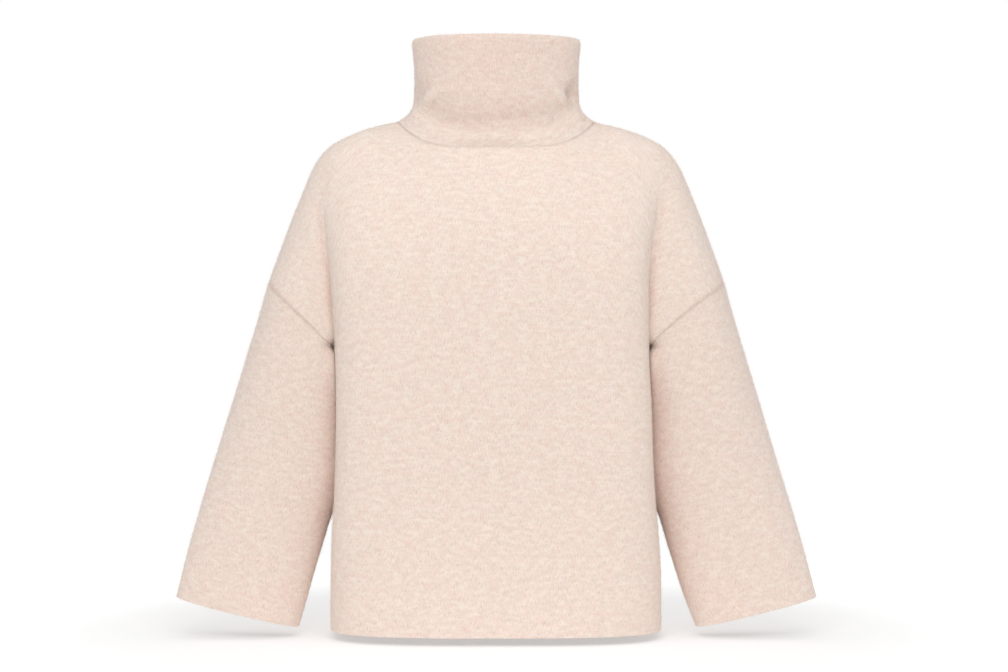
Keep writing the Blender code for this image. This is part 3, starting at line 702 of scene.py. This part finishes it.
def add_node(tree, kind, settings, values, output=0):
    """A node with its settings made first, then its sockets' values or links."""
    node = tree.nodes.new(kind)
    for name, setting in settings.items():
        if name == "stops":
            for stop, (place, colour) in zip(node.color_ramp.elements, setting):
                stop.position, stop.color = place, colour
        else:
            setattr(node, name, setting)
    for name, value in values.items():
        if isinstance(value, Wire):
            tree.links.new(value.socket, node.inputs[name])
        else:
            node.inputs[name].default_value = value
    return Wire(tree, node.outputs[output])


# Colours of the carded wool: cream and tan fibre blended in the yarn, with a little pink.
CREAM = (0.920, 0.803, 0.722, 1)
TAN = (0.745, 0.592, 0.495, 1)
PINK = (0.860, 0.675, 0.610, 1)
PALE_FIBRE = (0.960, 0.860, 0.790, 1)
DARK_FIBRE = (0.610, 0.460, 0.370, 1)
PAINTED_SHADE_COLOUR = (0.790, 0.700, 0.690, 1)        # multiplies the colour at full painted shade
TAN_SHARE, PINK_SHARE = 0.46, 0.50       # of the colour where a patch is at its strongest
DARK_SHARE, PALE_SHARE = 0.42, 0.40      # and where a fibre is


def mixed(tree, share, first, second, blend="MIX"):
    """Two colours mixed; each is a colour or a Wire."""
    return add_node(tree, "ShaderNodeMix", {"data_type": "RGBA", "blend_type": blend},
                    {0: share, 6: first, 7: second}, output=2)


def brushed_wool(name):
    """Felted knit: courses lie across, blurred by a nap of fine fibres brushed down and about."""
    material = bpy.data.materials.new(name)
    material.use_nodes = True
    tree = material.node_tree
    shader = tree.nodes["Principled BSDF"]
    on_cloth = add_node(tree, "ShaderNodeTexCoord", {}, {}, output="UV")

    def turned(angle, across, along):
        """Cloth coordinates turned by an angle, in steps of millimetres across and along."""
        return add_node(tree, "ShaderNodeMapping", {"vector_type": "POINT"},
                        {"Vector": on_cloth, "Rotation": (0, 0, np.radians(angle)),
                         "Scale": (1 / (across * MM), 1 / (along * MM), 1)})

    def grain(place, detail=2.0, roughness=0.5, low=0.3, high=0.7):
        """Soft noise spread to 0..1 between a low and a high level."""
        speckle = add_node(tree, "ShaderNodeTexNoise", {"noise_dimensions": "2D"},
                           {"Vector": place, "Scale": 1.0, "Detail": detail,
                            "Roughness": roughness})
        return add_node(tree, "ShaderNodeMapRange", {"interpolation_type": "SMOOTHSTEP"},
                        {"Value": speckle, "From Min": low, "From Max": high})

    tan_patches = grain(turned(0, 11, 4.5), detail=3, roughness=0.62)
    pink_patches = grain(turned(7, 17, 7), detail=2, low=0.42, high=0.72)
    pale_fibres = grain(turned(12, 0.75, 7), low=0.5, high=0.72) \
        + grain(turned(-38, 0.8, 6), low=0.52, high=0.74)
    dark_fibres = grain(turned(-9, 0.7, 6), low=0.54, high=0.72) \
        + grain(turned(47, 0.7, 5), low=0.56, high=0.74)
    lumps = grain(turned(20, 3.2, 2.4), detail=3, roughness=0.6, low=0.2, high=0.8)
    colour = mixed(tree, tan_patches * TAN_SHARE, CREAM, TAN)
    colour = mixed(tree, pink_patches * PINK_SHARE, colour, PINK)
    colour = mixed(tree, dark_fibres * DARK_SHARE, colour, DARK_FIBRE)
    colour = mixed(tree, pale_fibres * PALE_SHARE, colour, PALE_FIBRE)
    # Painted shade: the shade attribute darkens the colour along seams, beside creases, on the
    # sleeves and over the collar.
    painted_shade = add_node(tree, "ShaderNodeAttribute", {"attribute_name": "shade"}, {}, output="Fac")
    colour = mixed(tree, painted_shade, colour, PAINTED_SHADE_COLOUR, blend="MULTIPLY")
    tree.links.new(colour.socket, shader.inputs["Base Color"])
    height = pale_fibres * 0.35 + lumps * 0.9 - dark_fibres * 0.3
    bump = add_node(tree, "ShaderNodeBump", {},
                    {"Strength": 0.45, "Distance": 0.5 * MM, "Height": height})
    tree.links.new(bump.socket, shader.inputs["Normal"])
    shader.inputs["Roughness"].default_value = 0.95
    shader.inputs["Specular IOR Level"].default_value = 0.15
    shader.inputs["Subsurface Weight"].default_value = 0.3
    shader.inputs["Subsurface Radius"].default_value = (1.0, 0.62, 0.45)
    shader.inputs["Subsurface Scale"].default_value = 3 * MM
    shader.inputs["Sheen Weight"].default_value = 0.22
    shader.inputs["Sheen Roughness"].default_value = 0.6
    shader.inputs["Sheen Tint"].default_value = (1.0, 0.95, 0.90, 1)
    return material


WOOL = brushed_wool("brushed_wool_knit")


def panel(face, cut_from):
    """Front or back panel, cut from a place on the flat cloth.  Returns it and its neckline."""
    toward = FACES[face]
    cloth = Cloth()
    necklines = []
    for side, across in SIDES.items():
        outward = (across, toward, 1)
        body = body_block(side, face)
        arm = arm_block(side, face, body[ROWS_BELOW_PIT:, -1])
        flat, flat_arm = laid_flat(body), laid_flat(arm)
        flat_arm[..., 0] += flat[ROWS_BELOW_PIT:, -1, 0][:, None]
        flat_arm[..., 1] += flat[ROWS_BELOW_PIT, -1, 1] + (arm[0, :, 2] - PIT_Z)
        from_crease = flat_arm[..., 0] - flat_arm[:, :1, 0]
        crease_painted_shade = np.exp(-(from_crease / CREASE_SHADE_WIDTH) ** 2)
        for fade in CREASE_SHADE_Z:
            crease_painted_shade *= eased(arm[..., 2], *fade)
        for block, place in ((body, flat), (arm, flat_arm)):
            block[..., 1] = np.maximum(block[..., 1], SEAM_GAP / 2)
            cloth.add_grid(block * outward, place * (across, 1) + cut_from,
                           flipped=across * toward > 0)
        cloth.level_normals(body[:ROWS_BELOW_PIT, -1] * outward)
        cloth.level_normals(body[-1, NECK_COLUMNS + 1:] * outward)
        cloth.level_normals(arm[-1, :-1] * outward)
        seam = np.concatenate((arm[0, 1:], arm[1:, -1]))
        cloth.hold_normals(seam * outward, seam_normals(side, armhole_seam(side))[1:] * outward)
        cloth.hold_normals(arm[:1, 0] * outward, [(0, 0, -1)])
        neck = body[-1, :NECK_COLUMNS + 1] * outward
        cloth.hold_normals(neck, neckline_normals(neck))
        # Painted shade beside the crease, along the armhole seam and along the neck seam.
        cloth.shade(arm[:, 1:] * outward, CREASE_SHADE * crease_painted_shade[:, 1:])
        cloth.shade(seam * outward, [ARMHOLE_SHADE] * len(seam))
        cloth.shade(neck, [NECK_SEAM_SHADE] * len(neck))
        necklines.append(neck)
    right, left = necklines
    return cloth.shell(face + "_panel"), np.concatenate((right[::-1], left[1:]))


front, front_neckline = panel("front", cut_from=(0.47, 0.03))
back, back_neckline = panel("back", cut_from=(1.5, 0.1))
for piece, node in ((front, "front"), (back, "back")):
    piece.data.materials.append(WOOL)
    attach(piece, "root")
    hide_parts(node)

# ---------------------------------------------------------------------------------------------
# Sleeves.  Each is one wide tube closed by an underarm seam and set to the drop shoulder, cut off
# straight at the cuff.  It hangs free beside the body and is pressed flat where the two touch.
SLEEVE_CLEARANCE = 0.4 * MM
FLATTENED_EDGE = 3 * MM
# Painted shade: a little over the whole sleeve, and more where it goes in behind the body.
SLEEVE_SHADE = 0.08
TUCKED_SHADE = 0.6             # painted shade where the sleeve goes in behind the body
TUCKED_WIDTH = {"right": 15 * MM, "left": 21 * MM}
TUCKED_Z = {"right": (-270 * MM, -350 * MM), "left": (-264 * MM, -320 * MM)}
SLEEVE_ROWS = 74


def sleeve(side, cut_from):
    """Tube from the armhole seam to the cuff, pressed flat where it lies against the body."""
    seam = armhole_seam(side)
    length = run_along(seam)
    seam_shares = length / length[-1]
    even = np.linspace(0, 1, len(seam))
    top = share_out(seam, TO_BOTH_ENDS)[:, [0, 2]]
    cuff_inner = np.array((getattr(INNER_LINE[-1], side), INNER_LINE[-1].z)) * MM
    cuff_outer = np.array(OUTER_SLEEVE[-1]) * MM
    cuff = cuff_inner + TO_BOTH_ENDS[:, None] * (cuff_outer - cuff_inner)
    outer_line = polyline([SHOULDER[-1]] + OUTER_SLEEVE, SLEEVE_ROWS)
    rings = []
    for i in range(SLEEVE_ROWS + 1):
        t = i / SLEEVE_ROWS
        inner_z = (1 - t) * PIT_Z + t * cuff_inner[1]
        inner_end = np.array((INNER_X[side](inner_z), inner_z))
        line = drawn_over(top, cuff, t, inner_end, outer_line[i])
        depth = arm_depth(line[:, 0], line[:, 1], side)
        depth[0] = depth[-1] = 0
        shares = (1 - t) * seam_shares + t * even
        half = share_out(with_depth(line, depth), shares)
        half[1:-1, 1] = arm_depth(half[1:-1, 0], half[1:-1, 2], side)
        half = seam if i == 0 else half
        ring = np.concatenate((half * (1, -1, 1), half[-2:0:-1]))
        ring[:, 1] -= ARM_FORWARD(ring[:, 2])
        if i > 0:
            beside = trunk_side(ring[:, 1], ring[:, 2], side) + SLEEVE_CLEARANCE
            ring[:, 0] = soft_max(ring[:, 0], beside, FLATTENED_EDGE)
        rings.append(ring)
    rings = np.array(rings)
    rings[0] += unit(rings[1] - rings[0]) * SEAM_GAP
    beside = trunk_side(rings[0, :, 1], rings[0, :, 2], side) + 2 * SEAM_GAP
    rings[0, :, 0] = np.maximum(rings[0, :, 0], beside)
    rings = rings[::-1]
    flat = laid_flat(np.concatenate((rings, rings[:, :1]), axis=1))
    across = SIDES[side]
    outward = (across, 1, 1)
    cloth = Cloth()
    cloth.add_grid(rings * outward, flat * (across, 1) + cut_from, flipped=across < 0, closed=True)
    on_seam = seam_normals(side, seam)
    on_seam = np.concatenate((on_seam * (1, -1, 1), on_seam[-2:0:-1]))
    cloth.hold_normals(rings[-1] * outward, on_seam * outward)
    # Painted shade over the sleeve, deepest where it goes in behind the body, and along the
    # armhole seam.
    tucked = np.exp(-(from_trunk(rings * outward) / TUCKED_WIDTH[side]) ** 2)
    tucked *= eased(rings[..., 2], *TUCKED_Z[side])
    cloth.shade(rings * outward, SLEEVE_SHADE + TUCKED_SHADE * tucked)
    cloth.shade(rings[-1] * outward, [ARMHOLE_SHADE] * len(seam) * 2)
    return cloth.shell(side + "_sleeve")


sleeve_right = sleeve("right", cut_from=(2.6, 0.0))
sleeve_left = sleeve("left", cut_from=(2.7, 0.9))
for piece, node in ((sleeve_right, "sleeve_right"), (sleeve_left, "sleeve_left")):
    piece.data.materials.append(WOOL)
    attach(piece, "root")
    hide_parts(node)

# ---------------------------------------------------------------------------------------------
# Collar.  One ring of the same knit, sewn to the neckline, that stands up by its own stiffness and
# is cut off at the top.  It rolls over its seam at the front and buckles softly at both sides.
COLLAR_TOP_Z = 98 * MM
COLLAR_ROWS = 52
COLLAR_ROW_POWER = 1.25        # over 1 brings the rings closer together at the seam
FOLD_RADIUS = 88 * MM          # of the neck, turns the folds' angles into lengths
FOLD_FADE = (8 * MM, 12 * MM)  # the folds fade out this near to the seam and to the top
ROLL_POWER = 0.7               # under 1 carries the front's roll further round
BACK_ROLL = 0.5                # share of the front's roll that the back has

NeckRow = namedtuple("NeckRow", "z width depth forward")
NECK = [NeckRow(*row) for row in (
    (-40, 97, 72.5, 8.5),
    (0, 97, 72, 9.5),
    (40, 96.6, 72, 11),
    (65, 96.4, 72.5, 12.5),
    (85, 98, 74, 13.5),
    (93, 98.6, 74.5, 14),
    (98, 97.6, 73.5, 14),
)]
# The share that is left of the distance between the seam and the neck, and the roll's height.
FlareRow = namedtuple("FlareRow", "above_seam share front_roll")
FLARE = [FlareRow(*row) for row in (
    (0, 1.00, 0.0),
    (2, 0.82, 0.4),
    (5, 0.56, 1.4),
    (9, 0.31, 2.9),
    (13, 0.16, 2.2),
    (18, 0.07, -3.2),
    (23, 0.03, -5.6),
    (29, 0.01, -5.8),
    (38, 0.00, -3.6),
    (50, 0.00, -0.6),
    (64, 0.00, 1.0),
    (90, 0.00, 0.6),
    (140, 0.00, 0.0),
)]
# Angle in degrees from the front middle, + to the wearer's left.  Length and width are half
# sizes, tilt is the rise to the wearer's left in degrees.
FoldRow = namedtuple("FoldRow", "angle z length width tilt height")
COLLAR_FOLDS = [FoldRow(*row) for row in (
    (-74, 42, 24, 18, -62, -1.8),
    (-60, 20, 30, 7, 30, 5.4),
    (68, 29, 18, 14, 45, -7.2),
    (58, 20, 31, 6.5, -32, 8.0),
    (14, 4, 24, 7, 4, -1.6),
    (-28, -2, 24, 8, -5, -1.2),
    (132, 30, 26, 9, -18, -3.4),
    (-140, 26, 30, 9, 12, -3.0),
    (172, 12, 34, 9, 3, -2.2),
)]
# Painted shade by height above the seam at the front; a dent adds to it and a ridge takes away.
ShadeRow = namedtuple("ShadeRow", "above_seam depth")
COLLAR_SHADES = [ShadeRow(*row) for row in (
    (0, 0.05),
    (8, 0.08),
    (14, 0.15),
    (21, 0.32),
    (30, 0.35),
    (40, 0.32),
    (60, 0.31),
    (85, 0.33),
    (140, 0.33),
)]
FOLD_SHADE = 0.048 / MM
# Share of the painted shade taken off where the collar faces the side.
SIDES_PALER = 0.75
NECK_WIDTH = column(NECK, "width")
NECK_DEPTH = column(NECK, "depth")
NECK_FORWARD = column(NECK, "forward")
FLARE_SHARE = column(FLARE, "share", along="above_seam", scale=1)
FRONT_ROLL = column(FLARE, "front_roll", along="above_seam")
COLLAR_SHADE = column(COLLAR_SHADES, "depth", along="above_seam", scale=1)


def fold_height(angle, z):
    """How far the collar's soft folds stand out at an angle and a height."""
    total = np.zeros_like(z)
    for fold in COLLAR_FOLDS:
        turn = (np.degrees(angle) - fold.angle + 180) % 360 - 180
        around = np.radians(turn) * FOLD_RADIUS
        up = z - fold.z * MM
        tilt = np.radians(fold.tilt)
        along = (around * np.cos(tilt) + up * np.sin(tilt)) / (fold.length * MM)
        across = (up * np.cos(tilt) - around * np.sin(tilt)) / (fold.width * MM)
        total += fold.height * MM * np.exp(-along ** 2 - across ** 2)
    return total


def stand_up_collar(cut_from):
    """Rings from the two necklines, which meet on the shoulder seams, up to the cut edge."""
    base = np.concatenate((front_neckline, back_neckline[-2:0:-1]))
    base[[0, 2 * NECK_COLUMNS], 1] = 0
    angle = np.arctan2(base[:, 0] / NECK_WIDTH(0), -base[:, 1] / NECK_DEPTH(0))
    facing_front = np.clip(np.cos(angle), 0, 1) ** ROLL_POWER
    facing_back = np.clip(-np.cos(angle), 0, 1)
    rings = []
    shades = []
    for i in range(COLLAR_ROWS + 1):
        share = (i / COLLAR_ROWS) ** COLLAR_ROW_POWER
        above = share * (COLLAR_TOP_Z - base[:, 2])
        z = base[:, 2] + above
        direction = np.stack([np.sin(angle), -np.cos(angle)], axis=1)
        size = np.stack([NECK_WIDTH(z), NECK_DEPTH(z)], axis=1)
        middle = np.stack([np.zeros_like(z), -NECK_FORWARD(z)], axis=1)
        upright = direction * size + middle
        flare = (base[:, :2] - upright) * FLARE_SHARE(above)[:, None]
        roll = FRONT_ROLL(above) * (facing_front + BACK_ROLL * facing_back)
        fade = (np.clip(above / FOLD_FADE[0], 0, 1)
                * np.clip((COLLAR_TOP_Z - z) / FOLD_FADE[1], 0, 1))
        folds = fold_height(angle, z) * fade
        # Painted shade: by height, lighter at the sides, deeper in a dent and lighter on a ridge.
        painted_shade = COLLAR_SHADE(above) * (1 - SIDES_PALER * np.sin(angle) ** 2)
        shades.append(np.clip(painted_shade - folds * FOLD_SHADE, 0, 1))
        out = roll + folds
        place = upright + flare + direction * out[:, None]
        rings.append(np.concatenate((place, z[:, None]), axis=1))
    rings = np.array(rings)
    rings[0] = base + unit(rings[1] - base) * SEAM_GAP
    flat = laid_flat(np.concatenate((rings, rings[:, :1]), axis=1))
    cloth = Cloth()
    cloth.add_grid(rings, flat + cut_from, flipped=False, closed=True)
    cloth.hold_normals(rings[0], neckline_normals(base))
    cloth.shade(rings, shades)
    cloth.shade(rings[0], [NECK_SEAM_SHADE] * len(base))
    return cloth.shell("funnel_collar")


collar = stand_up_collar(cut_from=(3.4, 0.2))
collar.data.materials.append(WOOL)
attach(collar, "root")
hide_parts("collar")

# ---------------------------------------------------------------------------------------------
# Nap.  Brushing has raised fine wool fibres from the knit.  They lean every way over the outer
# face of each piece, blur its seams and stand out a little at its edges.
FIBRE_LENGTH = 4.5 * MM
FIBRE_RADIUS = 0.11 * MM
FIBRE_LEAN = np.radians((50, 82))        # from upright
LENGTH_SPREAD = (0.5, 1.3)
FIBRES_PER_M2 = 150000.0

nap_tree = bpy.data.node_groups.new("wool_nap", "GeometryNodeTree")
nap_tree.interface.new_socket("Cloth", in_out="INPUT", socket_type="NodeSocketGeometry")
density_port = nap_tree.interface.new_socket("Fibres per square metre", in_out="INPUT",
                                             socket_type="NodeSocketFloat")
seed_port = nap_tree.interface.new_socket("Seed", in_out="INPUT", socket_type="NodeSocketInt")
nap_tree.interface.new_socket("Nap", in_out="OUTPUT", socket_type="NodeSocketGeometry")
sockets = nap_tree.nodes.new("NodeGroupInput").outputs
cloth_in, density, seed = (Wire(nap_tree, sockets[k]) for k in range(3))
outside = add_node(nap_tree, "GeometryNodeInputNamedAttribute", {"data_type": "FLOAT"},
                   {"Name": "outside"}, output="Attribute")
roots = add_node(nap_tree, "GeometryNodeDistributePointsOnFaces", {},
                 {"Mesh": cloth_in, "Density": outside * density, "Seed": seed})
upright = Wire(nap_tree, roots.socket.node.outputs["Rotation"])
lean = add_node(nap_tree, "FunctionNodeRandomValue", {"data_type": "FLOAT_VECTOR"},
                {0: (FIBRE_LEAN[0], 0, 0), 1: (FIBRE_LEAN[1], 0, 2 * np.pi), "Seed": seed})
lean = add_node(nap_tree, "FunctionNodeEulerToRotation", {}, {"Euler": lean})
lean = add_node(nap_tree, "FunctionNodeRotateRotation", {"rotation_space": "LOCAL"},
                {"Rotation": upright, "Rotate By": lean})
stretch = add_node(nap_tree, "FunctionNodeRandomValue", {"data_type": "FLOAT_VECTOR"},
                   {0: (1, 1, LENGTH_SPREAD[0]), 1: (1, 1, LENGTH_SPREAD[1]), "Seed": seed})
fibre = add_node(nap_tree, "GeometryNodeMeshCone", {"fill_type": "NONE"},
                 {"Vertices": 3, "Radius Top": 0.0, "Radius Bottom": FIBRE_RADIUS,
                  "Depth": FIBRE_LENGTH})
fibres = add_node(nap_tree, "GeometryNodeInstanceOnPoints", {},
                  {"Points": roots, "Instance": fibre, "Rotation": lean, "Scale": stretch})
fibres = add_node(nap_tree, "GeometryNodeRealizeInstances", {}, {"Geometry": fibres})
place = add_node(nap_tree, "GeometryNodeInputNamedAttribute", {"data_type": "FLOAT_VECTOR"},
                 {"Name": "cloth"}, output="Attribute")
fibres = add_node(nap_tree, "GeometryNodeStoreNamedAttribute",
                  {"data_type": "FLOAT2", "domain": "CORNER"},
                  {"Geometry": fibres, "Name": "cloth", "Value": place})
fibres = add_node(nap_tree, "GeometryNodeSetMaterial", {}, {"Geometry": fibres, "Material": WOOL})
nap_tree.links.new(fibres.socket, nap_tree.nodes.new("NodeGroupOutput").inputs[0])

for seed_number, piece in enumerate((front, back, sleeve_right, sleeve_left, collar), start=1):
    grown = add_object("grown", piece.data.copy())
    brush = grown.modifiers.new("nap", "NODES")
    brush.node_group = nap_tree
    brush[density_port.identifier] = FIBRES_PER_M2
    brush[seed_port.identifier] = seed_number
    seen_now = bpy.context.evaluated_depsgraph_get()
    nap_mesh = bpy.data.meshes.new_from_object(grown.evaluated_get(seen_now))
    bpy.data.objects.remove(grown)
    nap = add_object(piece.name + "_nap", nap_mesh)
    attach(nap, "root")

# ---------------------------------------------------------------------------------------------
# Studio: a sheet of white paper just below the hem, white all round, and broad soft lamps.
FLOOR_Z = HEM_Z - 9 * MM
FLOOR_LEFT, FLOOR_RIGHT, FLOOR_FRONT, FLOOR_REAR = -1.2, 1.2, -0.39, 1.0
PAPER_WHITE = (0.62, 0.62, 0.62, 1)
# The paper glows, which keeps it white and lights the garment from below. The glow is dimmer under
# and near the garment: a painted shadow there.
PAPER_GLOW = (0.43, 0.63)      # glow of the paper, under the garment and far from it
GLOW_REACH = (0.40, 0.75)      # distances between which the one turns into the other
floor_mesh = bpy.data.meshes.new("floor")
floor_mesh.from_pydata([(FLOOR_LEFT, FLOOR_FRONT, 0), (FLOOR_RIGHT, FLOOR_FRONT, 0),
                        (FLOOR_RIGHT, FLOOR_REAR, 0), (FLOOR_LEFT, FLOOR_REAR, 0)],
                       [], [(0, 1, 2, 3)])
floor = add_object("floor", floor_mesh)
floor.location = (0, 0, FLOOR_Z)
paper = bpy.data.materials.new("white_paper")
paper.use_nodes = True
paper_shader = paper.node_tree.nodes["Principled BSDF"]
paper_shader.inputs["Base Color"].default_value = PAPER_WHITE
paper_shader.inputs["Roughness"].default_value = 1.0
paper_shader.inputs["Emission Strength"].default_value = 1.0
on_paper = add_node(paper.node_tree, "ShaderNodeTexCoord", {}, {}, output="Object")
away = add_node(paper.node_tree, "ShaderNodeVectorMath", {"operation": "LENGTH"}, {0: on_paper},
                output="Value")
glow = add_node(paper.node_tree, "ShaderNodeMapRange", {"interpolation_type": "SMOOTHSTEP"},
                {"Value": away, "From Min": GLOW_REACH[0], "From Max": GLOW_REACH[1],
                 "To Min": PAPER_GLOW[0], "To Max": PAPER_GLOW[1]})
paper.node_tree.links.new(glow.socket, paper_shader.inputs["Emission Color"])
floor_mesh.materials.append(paper)

LIGHT_ABOVE = 0.625            # strength of the white all round, which the camera sees as 1
LIGHT_BELOW = 0.65
LIGHT_TURN = (-0.25, 0.15)     # steepness of a ray, down and up, between which they change over
world = bpy.data.worlds.new("studio")
bpy.context.scene.world = world
world.use_nodes = True
sky = world.node_tree
toward = add_node(sky, "ShaderNodeTexCoord", {}, {}, output="Generated")
height = add_node(sky, "ShaderNodeSeparateXYZ", {}, {0: toward}, output="Z")
tent = add_node(sky, "ShaderNodeMapRange", {"interpolation_type": "SMOOTHSTEP"},
                {"Value": height, "From Min": LIGHT_TURN[0], "From Max": LIGHT_TURN[1],
                 "To Min": LIGHT_BELOW, "To Max": LIGHT_ABOVE})
seen = add_node(sky, "ShaderNodeLightPath", {}, {}, output="Is Camera Ray")
background = sky.nodes["Background"]
background.inputs["Color"].default_value = (1, 1, 1, 1)
sky.links.new((tent + seen * (1.0 - tent)).socket, background.inputs["Strength"])

LampRow = namedtuple("LampRow", "name x y z width height power")
LAMPS = [LampRow(*row) for row in (
    ("front", 0.0, -1.7, 0.65, 1.2, 0.8, 14.8),
    ("overhead", 0.0, -0.6, 1.7, 1.6, 1.2, 3.5),
)]
LAMPS_AIM = Vector((0, 0, -0.25))        # the garment's middle
for row in LAMPS:
    lamp = bpy.data.lights.new(row.name, "AREA")
    lamp.shape = "RECTANGLE"
    lamp.size, lamp.size_y, lamp.energy = row.width, row.height, row.power
    holder = add_object(row.name, lamp)
    holder.location = (row.x, row.y, row.z)
    holder.rotation_mode = "QUATERNION"
    holder.rotation_quaternion = (LAMPS_AIM - holder.location).to_track_quat("-Z", "Y")
bpy.context.scene.view_settings.view_transform = "Standard"
